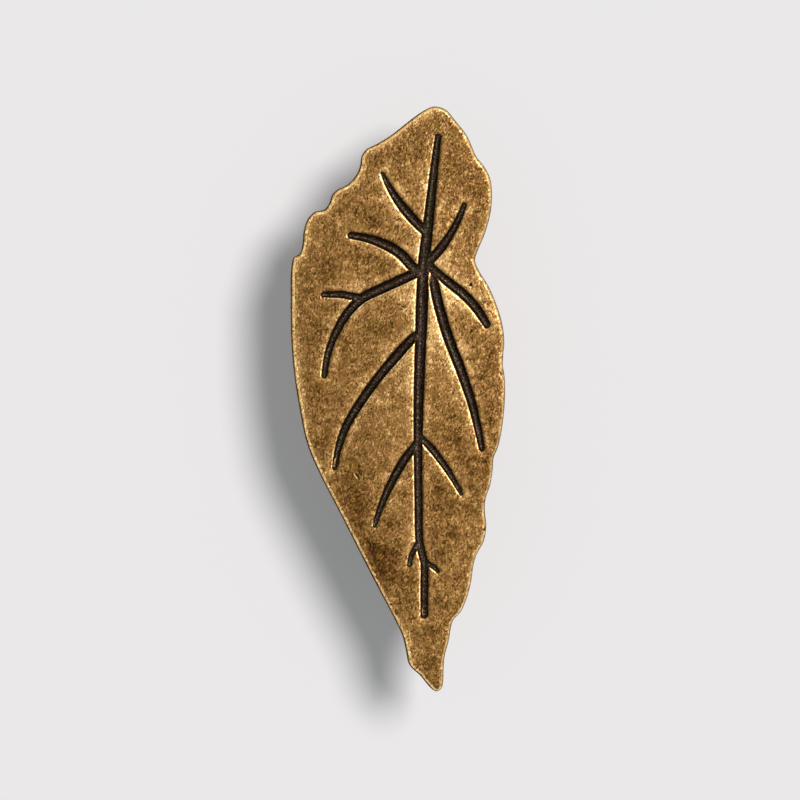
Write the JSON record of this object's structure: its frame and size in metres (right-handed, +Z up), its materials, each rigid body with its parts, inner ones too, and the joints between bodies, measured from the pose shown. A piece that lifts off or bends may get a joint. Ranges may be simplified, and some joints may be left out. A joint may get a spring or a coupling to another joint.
{
  "type": "leaf shaped cabinet pull",
  "caption": "Cast leaf pull with carved veins, standing off a door or drawer front on round posts tapped for machine screws.",
  "frame": {"origin": "midway between the two screw holes, on the plane of the post ends, which is the face of the door", "axes": "+Z up towards the stem end of the leaf, -Y out of the door towards the user, X across the leaf"},
  "size_m": [0.044, 0.0236, 0.12],
  "materials": {
    "antique_brass": "antiqued, satin, with dark patina in the veins and worn bright edges"
  },
  "bodies": {
    "root": {"leaf_pull": "antique_brass"}
  },
  "joints": []
}
